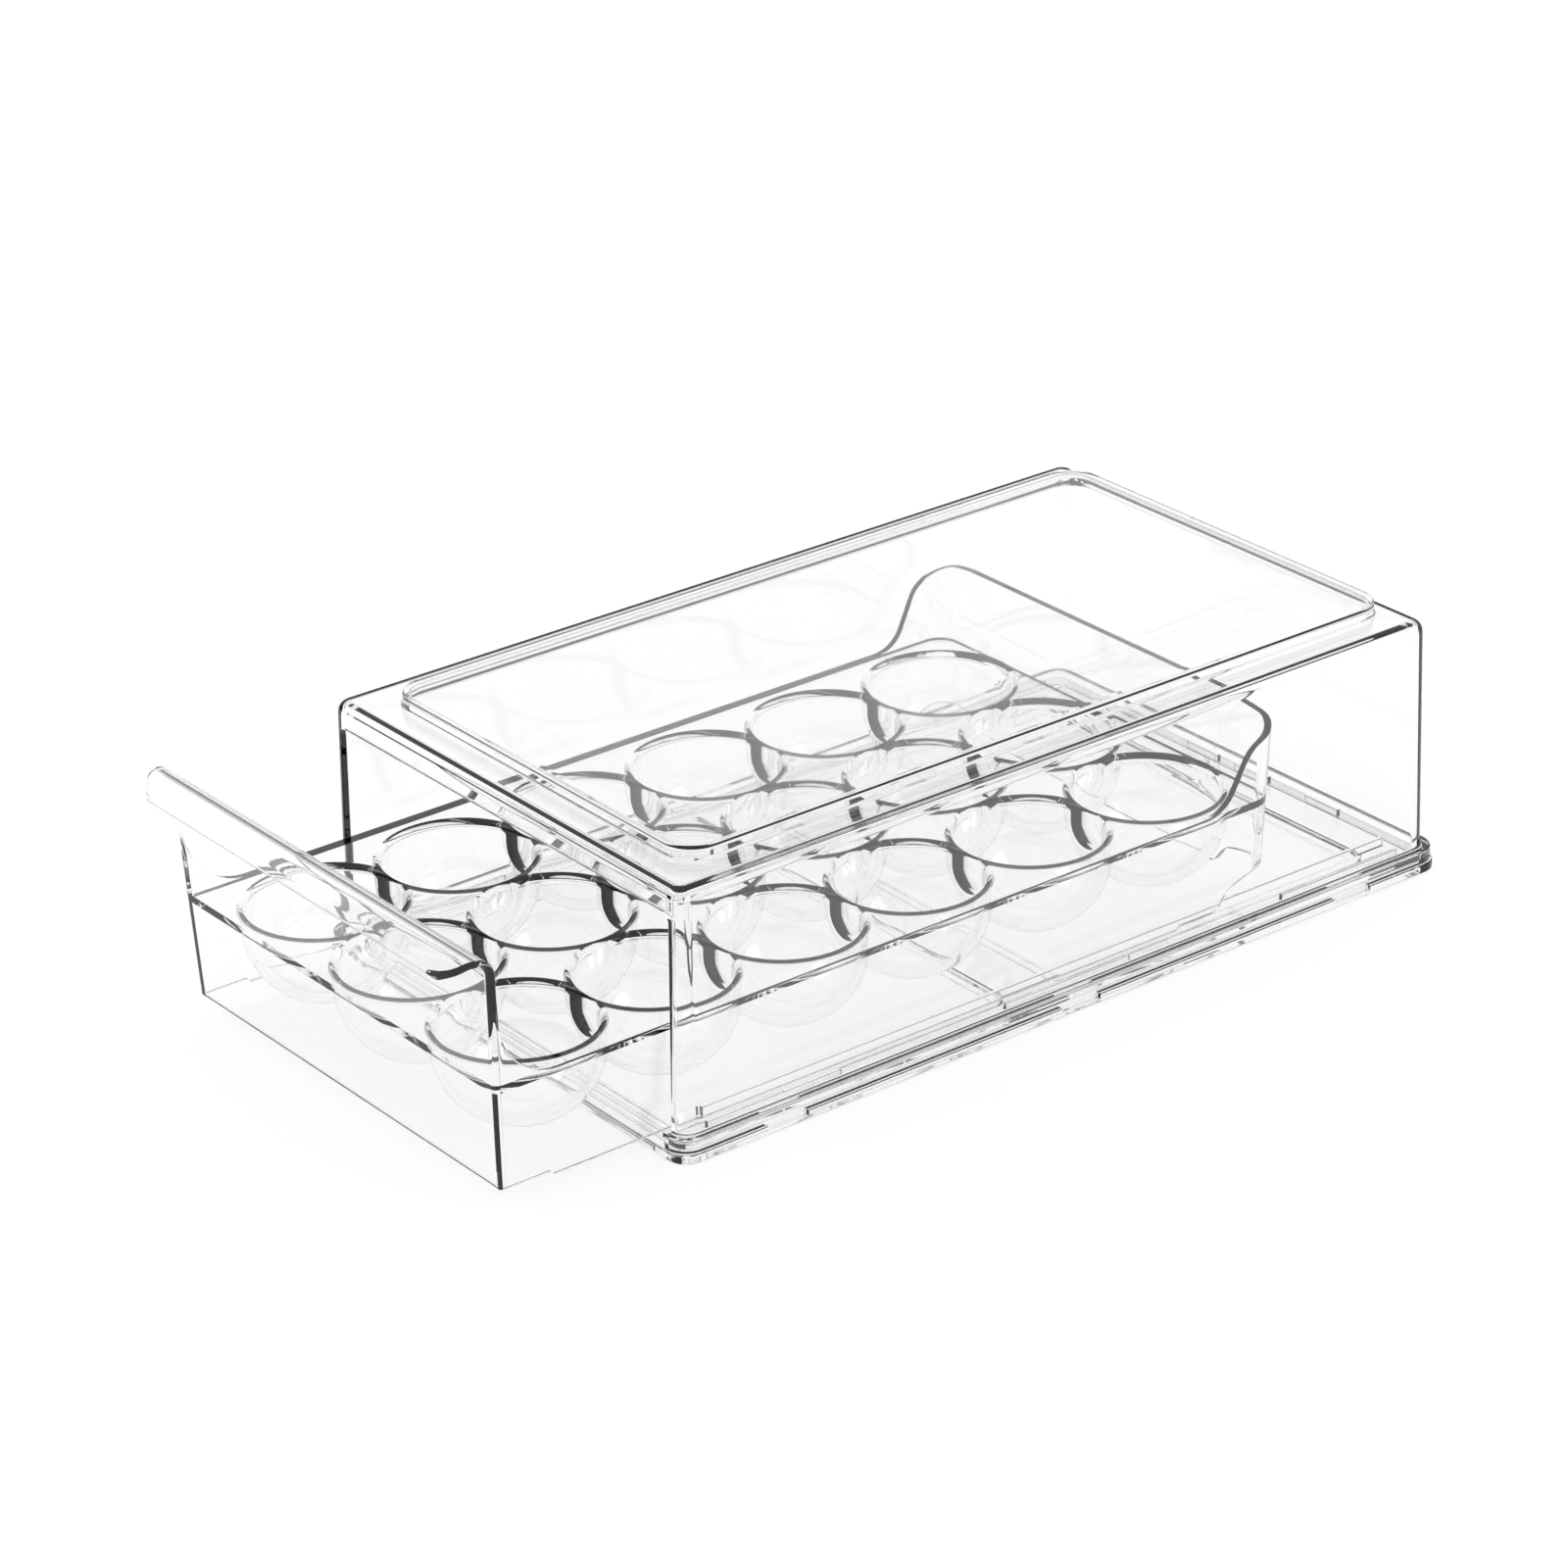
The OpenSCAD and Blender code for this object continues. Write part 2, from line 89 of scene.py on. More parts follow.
# Housing
MID_Y = (BASE_LOW.y + BASE_HIGH.y) / 2
PLATFORM_RISE = 4.4
SHOULDER_Z = PLATFORM_TOP - PLATFORM_RISE
COVER_WALL = 2.65
PLATFORM_T = 1.9
COVER_DRAFT = 0.016
FOOT_LOW_Z = 3.2
FOOT_TOP_Z = 8.2
FOOT_OUT = 2.9
FOOT_FLARE = COVER_DRAFT * (SHOULDER_Z - FOOT_TOP_Z)
COVER_HALF_W = FOOT_HIGH.x - FOOT_OUT - FOOT_FLARE
COVER_HALF_L = (FOOT_HIGH.y - FOOT_LOW.y) / 2 - FOOT_OUT - FOOT_FLARE
COVER_CORNER_R = 5.5
CORNER_R_GROWTH = 0.55
LEAST_CORNER_R = 0.8
COVER_EDGE_R = 4
COVER_INNER_EDGE_R = 1.0
FOOT_EDGE_R = 0.4
FOOT_STEP_R = 0.7
STEP_FOOT_R = 0.8
STEP_TOP_R = 0.9
INNER_STEP_FOOT_R = 1.2
INNER_STEP_TOP_R = 0.8
LEDGE_R = 0.3
LEDGE_GAP = 0.3
PLATFORM_SIDE = 13.2
PLATFORM_FRONT = 13.5
PLATFORM_BACK = 6.3
PLATFORM_R = 11
MOUTH_HALF_W = 86.6
MOUTH_TOP_Z = SHOULDER_Z - 8.6
MOUTH_R = 3
MOUTH_EDGE_R = 0.5
SNAP_PITCH = 118
TONGUE_L = 15.5
TONGUE_DROP = 1.7
TONGUE_INSET = 0.1
TONGUE_RISE = 1.2
TONGUE_EDGE_R = 0.3
NOTCH_EDGE_R = 0.2
FIT_GAP = 0.2

# Base frame
RIM_W = 6.2
RIM_TOP_Z = FOOT_LOW_Z
PLATE_Z = 3
SLIDE_Z = 6
BASE_CORNER_R = 7.5
LEAST_BASE_R = 1.5
RIM_EDGE_R = 0.6
PLATE_HALF_W = FOOT_HIGH.x - COVER_WALL - FIT_GAP
PLATE_ROOT_R = 0.2
PLATE_EDGE_R = 0.4
OPENING_HALF_W = 78
OPENING_FRONT = 4.4
OPENING_REAR = 18.2
OPENING_R = 2
OPENING_EDGE_R = 0.5
BAR_W = 23.5
BAR_Y = MID_Y - 8.3
OPENING_LIP_T = 2.2
OPENING_LIP_Z = 1
OPENING_LIP_R = 0.4
GUIDE_T = 1.8
GUIDE_SHORTER = 11
GUIDE_BACK = 3
GUIDE_EDGE_R = 0.4
SNAP_ARM_L = 52
SNAP_ARM_GAP = 4.4
REAR_ARM_L = 16
REAR_ARM_GAP = 0.5
REAR_ARM_X = (-46, -12, 12, 46)
SNAP_ARM_T = 1.6
SNAP_ARM_TOP_Z = 8.5

# Drawer
WALL_T = 2.4
SIDE_DRAFT = 0.05
FRONT_LEAN = 0.043
REAR_DRAFT = 0.02
SKIRT_Z = WALL_LOW.z
PANEL_Z = PANEL_LOW.z
REAR_TOP_Z = REAR_HIGH.z
DRAWER_FRONT = PANEL_HIGH.y - WALL_T
DRAWER_REAR = REAR_HIGH.y - REAR_DRAFT * (REAR_TOP_Z - SKIRT_Z)
DRAWER_HALF_W = WALL_HIGH.x - SIDE_DRAFT * (REAR_TOP_Z - SKIRT_Z)
REAR_R = 10
FRONT_R = 2.4
DECK_Z = CUP_HIGH.z
DECK_T = 2.7
DECK_FRONT_R = 0.4
SHEET_EDGE_R = 0.35
PANEL_EDGE_R = 0.4
CURL_Z = 80.9
CURL_R = 7.2
CURL_TURN = 118
LIP_RUN = 4.2
LIP_TIP = 2.4
LIP_CORNER_R = 11
LIP_TIP_TURN = 17

# Egg cups
PITCH_X = CUP_HIGH.x - CUP_LOW.x
PITCH_Y = CUP_HIGH.y - CUP_LOW.y
FIRST_ROW_Y = (CUP_LOW.y + CUP_HIGH.y) / 2 - PITCH_Y
CUP_R = 24.4
CUP_T = 1.8
CUP_MID_Z = CUP_LOW.z + CUP_R + CUP_T
CUP_RIM_R = 2.2
CUP_FILLET_R = 1.2


# ---------- mesh making ----------

def mesh_object(name, points, faces):
    """A closed mesh with its normals outward, from points in millimetres."""
    mesh = bpy.data.meshes.new(name)
    mesh.from_pydata((np.asarray(points, float) * MM).tolist(), [], faces)
    work = bmesh.new()
    work.from_mesh(mesh)
    bmesh.ops.delete(work, geom=[v for v in work.verts if not v.link_faces], context="VERTS")
    bmesh.ops.remove_doubles(work, verts=work.verts, dist=1e-7)
    bmesh.ops.recalc_face_normals(work, faces=work.faces)
    if work.calc_volume(signed=True) < 0:
        bmesh.ops.reverse_faces(work, faces=work.faces)
    work.to_mesh(mesh)
    work.free()
    made = bpy.data.objects.new(name, mesh)
    bpy.context.scene.collection.objects.link(made)
    return made


def loft(name, rings):
    """A solid through rings of equal length, with flat ends."""
    count, size = len(rings), len(rings[0])
    faces = [list(range(size)), list(range((count - 1) * size, count * size))]
    for i in range(count - 1):
        for j in range(size):
            k = (j + 1) % size
            faces.append([i * size + j, i * size + k, (i + 1) * size + k, (i + 1) * size + j])
    return mesh_object(name, np.concatenate(rings), faces)


def lattice(name, grid):
    """A solid bounded by the outside of a three-way grid of points."""
    grid = np.asarray(grid, float)
    a, b, c = grid.shape[:3]
    index = np.arange(a * b * c).reshape(a, b, c)
    faces = []
    for side in (index[0], index[-1], index[:, 0], index[:, -1], index[:, :, 0], index[:, :, -1]):
        for i in range(side.shape[0] - 1):
            for j in range(side.shape[1] - 1):
                faces.append([side[i, j], side[i + 1, j], side[i + 1, j + 1], side[i, j + 1]])
    return mesh_object(name, grid.reshape(-1, 3), [[int(v) for v in f] for f in faces])


def revolve(name, profile, centres):
    """Solids of revolution round upright axes, joined in one mesh; profile runs from axis to axis."""
    points, faces = [], []
    angles = np.linspace(0, 2 * math.pi, CUP_STEPS, endpoint=False)
    for x, y in centres:
        rows = []
        for r, z in profile:
            if r < 1e-6:
                rows.append([len(points)] * CUP_STEPS)
                points.append((x, y, z))
            else:
                rows.append(range(len(points), len(points) + CUP_STEPS))
                points.extend((x + r * math.cos(t), y + r * math.sin(t), z) for t in angles)
        for low, high in zip(rows, rows[1:]):
            for j in range(CUP_STEPS):
                k = (j + 1) % CUP_STEPS
                face = [low[j], low[k], high[k], high[j]]
                faces.append([v for i, v in enumerate(face) if v not in face[:i]])
    return mesh_object(name, points, faces)


def rounded_box(name, low, high, r=0.35):
    """A box with all its edges rounded."""
    low, high = Vector(low), Vector(high)
    made = lattice(name, [[[(x, y, z) for z in (low.z, high.z)] for y in (low.y, high.y)]
                          for x in (low.x, high.x)])
    work = bmesh.new()
    work.from_mesh(made.data)
    bmesh.ops.bevel(work, geom=work.edges[:], offset=r * MM, segments=3, profile=0.5,
                    affect="EDGES", clamp_overlap=True)
    work.to_mesh(made.data)
    work.free()
    return made


def combine(target, tools, operation):
    """Adds the tools to the target, or cuts them from it, and removes them."""
    for tool in tools:
        step = target.modifiers.new("step", "BOOLEAN")
        step.operation = operation
        step.solver = "MANIFOLD"
        step.object = tool
        evaluated = target.evaluated_get(bpy.context.evaluated_depsgraph_get())
        result = bpy.data.meshes.new_from_object(evaluated)
        target.modifiers.clear()
        if len(result.polygons) == 0:
            raise RuntimeError(f"{operation} with {tool.name} left nothing of {target.name}")
        target.data = result
        bpy.data.objects.remove(tool)
    return target


def rounded(points, radii, steps=5):
    """A polyline whose inner vertices are rounded by arcs of the given radii."""
    out = [tuple(points[0])]
    for i in range(1, len(points) - 1):
        p, r = np.array(points[i], float), radii[i]
        if r <= 0:
            out.append(tuple(p))
            continue
        u = np.array(points[i - 1], float) - p
        v = np.array(points[i + 1], float) - p
        u, v = u / np.linalg.norm(u), v / np.linalg.norm(v)
        half = math.acos(max(-1, min(1, float(u @ v)))) / 2
        reach = r / math.tan(half)
        centre = p + (u + v) / np.linalg.norm(u + v) * r / math.sin(half)
        a, b = p + u * reach - centre, p + v * reach - centre
        sweep = math.acos(max(-1, min(1, float(a @ b) / r / r)))
        for k in range(steps + 1):
            t = k / steps
            w = (math.sin((1 - t) * sweep) * a + math.sin(t * sweep) * b) / math.sin(sweep)
            out.append(tuple(centre + w))
    out.append(tuple(points[-1]))
    return out


def edge_inset(depth, thickness, r):
    """How far a sheet's edge draws back at a depth, when both its corners are rounded."""
    near = min(depth, thickness - depth)
    return 0.0 if near >= r else r - math.sqrt(max(0.0, r * r - (r - near) ** 2))


def bend_steps(r, steps=4):
    """Depths through one rounded edge, close together at the sheet's face."""
    return [r * (1 - math.cos(math.pi / 2 * k / steps)) for k in range(steps + 1)]


def depth_steps(thickness, r):
    """Depths through a sheet, close together where its edges round."""
    bend = bend_steps(r)
    return bend + [thickness - d for d in reversed(bend)]


def rectangle_ring(half_w, y0, y1, z, r, r_front=None):
    """A rounded rectangle at height z; its front corners can have their own radius."""
    r_front = r if r_front is None else r_front
    corners = ((half_w - r, y1 - r, r), (r - half_w, y1 - r, r),
               (r_front - half_w, y0 + r_front, r_front), (half_w - r_front, y0 + r_front, r_front))
    ring = []
    for quarter, (x, y, radius) in enumerate(corners):
        for k in range(CORNER_STEPS + 1):
            t = math.pi / 2 * (quarter + k / CORNER_STEPS)
            ring.append((x + radius * math.cos(t), y + radius * math.sin(t), z))
    return np.array(ring)


def nodes_called(*starts):
    """The frame's nodes whose names start in one of these ways."""
    return [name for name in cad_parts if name.startswith(starts)]


def finish_piece(piece, name, body, material, nodes):
    """Smooth shading with flat faces kept flat, then the piece takes its place in the frame."""
    piece.name = name
    piece.data.name = name
    piece.data.materials.clear()
    piece.data.materials.append(material)
    piece.data.polygons.foreach_set("use_smooth", [True] * len(piece.data.polygons))
    piece.data.set_sharp_from_angle(angle=FLAT_ANGLE)
    weighted = piece.modifiers.new("flat_faces_stay_flat", "WEIGHTED_NORMAL")
    weighted.mode = "FACE_AREA"
    weighted.weight = 100
    weighted.keep_sharp = True
    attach(piece, body)
    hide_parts(*nodes)


# ---------- clear plastic ----------

def clear_plastic(name):
    """Clear moulded plastic: polished, with faint flow waves and slight haze that varies."""
    tint = (0.994, 0.996, 0.998)
    waviness = 0.01
    material = bpy.data.materials.new(name)
    material.use_nodes = True
    nodes, links = material.node_tree.nodes, material.node_tree.links
    shader = nodes["Principled BSDF"]
    shader.inputs["Base Color"].default_value = (*tint, 1)
    shader.inputs["IOR"].default_value = 1.5
    shader.inputs["Transmission Weight"].default_value = 1.0
    place = nodes.new("ShaderNodeTexCoord")
    haze = nodes.new("ShaderNodeTexNoise")
    haze.inputs["Scale"].default_value = 34
    haze.inputs["Detail"].default_value = 3
    spread = nodes.new("ShaderNodeMapRange")
    spread.inputs["From Min"].default_value = 0.35
    spread.inputs["From Max"].default_value = 0.75
    spread.inputs["To Min"].default_value = 0.0
    spread.inputs["To Max"].default_value = 0.035
    flow = nodes.new("ShaderNodeTexNoise")
    flow.inputs["Scale"].default_value = 22
    flow.inputs["Detail"].default_value = 1
    bump = nodes.new("ShaderNodeBump")
    bump.inputs["Strength"].default_value = waviness
    bump.inputs["Distance"].default_value = 0.0004
    links.new(place.outputs["Object"], haze.inputs["Vector"])
    links.new(place.outputs["Object"], flow.inputs["Vector"])
    links.new(haze.outputs["Fac"], spread.inputs["Value"])
    links.new(spread.outputs["Result"], shader.inputs["Roughness"])
    links.new(flow.outputs["Fac"], bump.inputs["Height"])
    links.new(bump.outputs["Normal"], shader.inputs["Normal"])
    return material


# ---------- cover ----------

def cover_ring(offset, z):
    """The cover's outline at an offset from its shoulder rectangle."""
    r = COVER_CORNER_R + (offset if offset < 0 else CORNER_R_GROWTH * offset)
    return rectangle_ring(COVER_HALF_W + offset, MID_Y - COVER_HALF_L - offset,
                          MID_Y + COVER_HALF_L + offset, z, max(r, LEAST_CORNER_R))


def platform_ring(offset, z):
    """The raised platform's outline at an offset from its side wall."""
    return rectangle_ring(COVER_HALF_W - PLATFORM_SIDE + offset,
                          MID_Y - COVER_HALF_L + PLATFORM_FRONT - offset,
                          MID_Y + COVER_HALF_L - PLATFORM_BACK + offset, z, PLATFORM_R + offset)


def flare(z):
    """How far the cover's side wall has spread out by a height."""
    return COVER_DRAFT * (SHOULDER_Z - z)


def cover_outside():
    """Foot, side wall and shoulder, then the step up to the platform."""
    foot = FOOT_FLARE + FOOT_OUT
    foot_flat, shoulder_flat, step_flat, platform_flat = 2, 0.5, 0.9, 3
    side = rounded(
        [(foot - foot_flat, FOOT_LOW_Z), (foot, FOOT_LOW_Z), (foot, FOOT_TOP_Z),
         (FOOT_FLARE, FOOT_TOP_Z), (0, SHOULDER_Z), (-COVER_EDGE_R - shoulder_flat, SHOULDER_Z)],
        [0, FOOT_EDGE_R, FOOT_STEP_R, FOOT_STEP_R, COVER_EDGE_R, 0])
    step = rounded(
        [(step_flat, SHOULDER_Z), (0, SHOULDER_Z), (0, PLATFORM_TOP),
         (-platform_flat, PLATFORM_TOP)],
        [0, STEP_FOOT_R, STEP_TOP_R, 0])
    return loft("cover_outside", [cover_ring(*p) for p in side] + [platform_ring(*p) for p in step])


def cover_inside():
    """The space in the cover: under the foot, between the walls and under the platform."""
    foot = FOOT_FLARE + FOOT_OUT - COVER_WALL
    ledge = SLIDE_Z + LEDGE_GAP
    ceiling = SHOULDER_Z - COVER_WALL
    platform = PLATFORM_TOP - PLATFORM_T
    shoulder_flat, platform_flat = 0.5, 3
    side = rounded(
        [(foot, 0), (foot, ledge), (flare(ledge) - COVER_WALL, ledge), (-COVER_WALL, ceiling),
         (-COVER_WALL - COVER_INNER_EDGE_R - shoulder_flat, ceiling)],
        [0, LEDGE_R, FOOT_EDGE_R, COVER_INNER_EDGE_R, 0])
    step = rounded(
        [(0, ceiling), (-PLATFORM_T, ceiling), (-PLATFORM_T, platform),
         (-PLATFORM_T - platform_flat, platform)],
        [0, INNER_STEP_FOOT_R, INNER_STEP_TOP_R, 0])
    return loft("cover_inside", [cover_ring(*p) for p in side] + [platform_ring(*p) for p in step])


def mouth_cutter():
    """The mouth, flared at both faces of the front wall so that its edges come out rounded."""
    outside, inside, below = -12, 14, -20
    sections = [(outside, MOUTH_EDGE_R)]
    sections += [(d, edge_inset(d, COVER_WALL, MOUTH_EDGE_R))
                 for d in depth_steps(COVER_WALL, MOUTH_EDGE_R)]
    sections += [(inside, MOUTH_EDGE_R)]
    rings = []
    for depth, grow in sections:
        flat = rectangle_ring(MOUTH_HALF_W + grow, below, MOUTH_TOP_Z + grow, 0, MOUTH_R + grow)
        x, z = flat[:, 0], flat[:, 1]
        y = MID_Y - COVER_HALF_L - flare(z) + depth
        rings.append(np.stack([x, y, z], axis=1))
    return loft("mouth", rings)


def snap_places():
    """Where the cover snaps to the base frame along its sides, as (side, middle y)."""
    return [(side, MID_Y + i * SNAP_PITCH) for side in (-1, 1) for i in (-1, 0, 1)]


def snap_tongues():
    """Tongues hanging from the cover's foot into the base frame's notches."""
    inner = FOOT_HIGH.x - COVER_WALL + TONGUE_INSET
    outer = FOOT_HIGH.x - TONGUE_INSET
    tongues = []
    for side, y in snap_places():
        near, far = sorted((side * inner, side * outer))
        tongues.append(rounded_box("tongue", (near, y - TONGUE_L / 2, FOOT_LOW_Z - TONGUE_DROP),
                                   (far, y + TONGUE_L / 2, FOOT_LOW_Z + TONGUE_RISE),
                                   TONGUE_EDGE_R))
    return tongues


def make_cover(material):
    cover = cover_outside()
    combine(cover, [cover_inside(), mouth_cutter()], "DIFFERENCE")
    combine(cover, snap_tongues(), "UNION")
    finish_piece(cover, "cover_shell", "housing", material, nodes_called("cover"))


# ---------- base frame ----------

def base_ring(offset, z):
    """The base frame's outline at an offset from its foot rim."""
    return rectangle_ring(BASE_HIGH.x + offset, BASE_LOW.y - offset, BASE_HIGH.y + offset, z,
                          max(BASE_CORNER_R + offset, LEAST_BASE_R))


def base_openings():
    """The two openings, each from its front to its rear, with the cross bar between them."""
    front = MID_Y - COVER_HALF_L + OPENING_FRONT
    rear = MID_Y + COVER_HALF_L - OPENING_REAR
    return ((front, BAR_Y - BAR_W / 2), (BAR_Y + BAR_W / 2, rear))


def opening_rings(rows, y0, y1):
    """Outlines round an opening, from rows of (growth, height)."""
    return [rectangle_ring(OPENING_HALF_W + grow, y0 - grow, y1 + grow, z, OPENING_R + grow)
            for grow, z in rows]


def opening_cutter(y0, y1):
    """An opening that widens at both faces, so that its edges come out rounded."""
    clear = 3
    depth = SLIDE_Z - OPENING_LIP_Z
    bend = [(edge_inset(d, depth, OPENING_EDGE_R), d) for d in bend_steps(OPENING_EDGE_R)]
    rows = [(OPENING_EDGE_R, OPENING_LIP_Z - clear), (OPENING_EDGE_R, OPENING_LIP_Z)]
    rows += [(grow, OPENING_LIP_Z + d) for grow, d in bend]
    rows += [(grow, SLIDE_Z - d) for grow, d in reversed(bend)]
    rows += [(OPENING_EDGE_R, SLIDE_Z + clear)]
    return loft("opening", opening_rings(rows, y0, y1))


def opening_lip(y0, y1):
    """The turned-down lip round an opening, before the opening is cut through it."""
    rows = rounded(
        [(OPENING_LIP_T - OVERLAP, OPENING_LIP_Z), (OPENING_LIP_T, OPENING_LIP_Z),
         (OPENING_LIP_T, PLATE_Z + OVERLAP)],
        [0, OPENING_LIP_R, 0])
    return loft("lip", opening_rings(rows, y0, y1))


def guide_rib(side):
    """The rib that guides the drawer's skirt on one side."""
    near, far = sorted((side * OPENING_HALF_W, side * (OPENING_HALF_W + GUIDE_T)))
    half = COVER_HALF_L - GUIDE_SHORTER
    return rounded_box("rib", (near, MID_Y + GUIDE_BACK - half, SLIDE_Z - OVERLAP),
                       (far, MID_Y + GUIDE_BACK + half, GUIDE_TOP_Z), GUIDE_EDGE_R)


def snap_arms():
    """Low upright arms beside the cover's walls: three a side and four at the back."""
    arms = []
    arm_x = DRAWER_HALF_W + SNAP_ARM_GAP
    for side, y in snap_places():
        near, far = sorted((side * arm_x, side * (arm_x + SNAP_ARM_T)))
        arms.append(rounded_box("arm", (near, y - SNAP_ARM_L / 2, SLIDE_Z - OVERLAP),
                                (far, y + SNAP_ARM_L / 2, SNAP_ARM_TOP_Z)))
    rear = MID_Y + COVER_HALF_L - COVER_WALL - REAR_ARM_GAP
    for x in REAR_ARM_X:
        arms.append(rounded_box("arm", (x - REAR_ARM_L / 2, rear - SNAP_ARM_T, SLIDE_Z - OVERLAP),
                                (x + REAR_ARM_L / 2, rear, SNAP_ARM_TOP_Z)))
    return arms


def tongue_notches():
    """Notches in the rim that take the cover's snap tongues."""
    half = TONGUE_L / 2 + FIT_GAP
    low = RIM_TOP_Z - TONGUE_DROP - TONGUE_INSET
    outer = BASE_HIGH.x + 2 * OVERLAP
    high = RIM_TOP_Z + 3 * OVERLAP
    notches = []
    for side, y in snap_places():
        near, far = sorted((side * PLATE_HALF_W, side * outer))
        notches.append(rounded_box("notch", (near, y - half, low), (far, y + half, high),
                                   NOTCH_EDGE_R))
    return notches


def make_base(material):
    plate = PLATE_HALF_W - BASE_HIGH.x
    rim_flat, plate_flat = 3, 4
    rows = rounded(
        [(-rim_flat, 0), (0, 0), (0, RIM_TOP_Z), (plate, RIM_TOP_Z), (plate, SLIDE_Z),
         (plate - plate_flat, SLIDE_Z)],
        [0, RIM_EDGE_R, RIM_EDGE_R, PLATE_ROOT_R, PLATE_EDGE_R, 0])
    base = loft("base", [base_ring(*p) for p in rows])
    recess = rounded([(-RIM_W, -OVERLAP), (-RIM_W, PLATE_Z), (-RIM_W - plate_flat, PLATE_Z)],
                     [0, RIM_EDGE_R, 0])
    combine(base, [loft("recess", [base_ring(*p) for p in recess])] + tongue_notches(), "DIFFERENCE")
    combine(base, [opening_lip(*span) for span in base_openings()], "UNION")
    combine(base, [opening_cutter(*span) for span in base_openings()], "DIFFERENCE")
    combine(base, [guide_rib(-1), guide_rib(1)] + snap_arms(), "UNION")
    finish_piece(base, "base_tray", "housing", material, nodes_called("base"))


# ---------- egg drawer ----------

def side_x(z):
    """The side wall's outer face at a height."""
    return DRAWER_HALF_W + SIDE_DRAFT * (z - SKIRT_Z)


def front_y(z):
    """The front panel's outer face at a height."""
    return DRAWER_FRONT - FRONT_LEAN * (z - PANEL_Z)


def rear_y(z):
    """The rear wall's outer face at a height."""
    return DRAWER_REAR + REAR_DRAFT * (z - SKIRT_Z)


# The wall is laid out by its length: from the front panel, round the rear corner, to the
# middle of the rear wall.
CORNER_START = DRAWER_REAR - REAR_R
CORNER_END = CORNER_START + REAR_R * math.pi / 2
REAR_HALF = side_x(DECK_Z) - REAR_R
WALL_END = CORNER_END + REAR_HALF
FRONT_EASE = 20
REAR_EASE = 60
WALL_START = DRAWER_FRONT + 1.9
SWEEP_L = 22
SWEEP_Z = 68
RISE_START = DRAWER_REAR - 34


def front_s(y, z):
    """Length along the wall of the point at y and z, as the wall's front end leans with the panel."""
    lean = FRONT_LEAN * (z - PANEL_Z)
    s = (y + lean + DRAWER_FRONT * lean / FRONT_EASE) / (1 + lean / FRONT_EASE)
    return s if s < DRAWER_FRONT + FRONT_EASE else y


def on_wall(s, z, depth):
    """The point at length s along the right half of the drawer's wall, at a height and a depth."""
    if s < CORNER_START:
        rear = max(0.0, 1 - (CORNER_START - s) / REAR_EASE) * REAR_DRAFT * (z - SKIRT_Z)
        lean = max(0.0, 1 - (s - DRAWER_FRONT) / FRONT_EASE) * FRONT_LEAN * (z - PANEL_Z)
        return side_x(z) - depth, s + rear - lean, z
    x, y = side_x(z) - REAR_R, rear_y(z) - REAR_R
    if s < CORNER_END:
        t = (s - CORNER_START) / REAR_R
        return x + (REAR_R - depth) * math.cos(t), y + (REAR_R - depth) * math.sin(t), z
    return x * (1 - (s - CORNER_END) / REAR_HALF), y + REAR_R - depth, z


def smooth_curve(points, per_span=8):
    """A Catmull-Rom curve through points, ends kept."""
    p = [points[0]] + list(points) + [points[-1]]
    out = []
    for i in range(1, len(p) - 2):
        a, b, c, d = (np.array(q, float) for q in p[i - 1:i + 3])
        for k in range(per_span):
            t = k / per_span
            out.append(tuple(0.5 * (2 * b + (c - a) * t + (2 * a - 5 * b + 4 * c - d) * t * t
                                    + (3 * b - a - 3 * c + d) * t ** 3)))
    out.append(tuple(points[-1]))
    return out


def wall_top():
    """The wall's top edge as (length, height): sweep down from the panel, deck, rise, rear."""
    start = front_y(SWEEP_Z) + WALL_T
    start_rise = 0.8
    edge = [(WALL_START, SWEEP_Z + start_rise)]
    for k in range(SWEEP_STEPS + 1):
        t = math.pi / 2 * k / SWEEP_STEPS
        z = SWEEP_Z - (SWEEP_Z - DECK_Z) * math.sin(t)
        edge.append((front_s(start + SWEEP_L * (1 - math.cos(t)), z), z))
    sweep_end = edge[-1][0]
    for k in range(1, DECK_EDGE_STEPS):
        edge.append((sweep_end + k / DECK_EDGE_STEPS * (RISE_START - sweep_end), DECK_Z))
    edge += smooth_curve([
        (RISE_START, DECK_Z), (DRAWER_REAR - 30, DECK_Z + 0.1), (DRAWER_REAR - 25.5, 44.3),
        (DRAWER_REAR - 21.4, 47.6), (DRAWER_REAR - 18.3, 53.3), (DRAWER_REAR - 14.2, 61.2),
        (DRAWER_REAR - 10, 64.7), (DRAWER_REAR - 5.8, 66.3), (DRAWER_REAR - 2.1, 67.8),
        (DRAWER_REAR + 2.6, 69.3), (CORNER_END + 2, 70.3), (CORNER_END + 7, REAR_TOP_Z - 0.15),
        (CORNER_END + 13, REAR_TOP_Z), (WALL_END, REAR_TOP_Z)])
    return edge


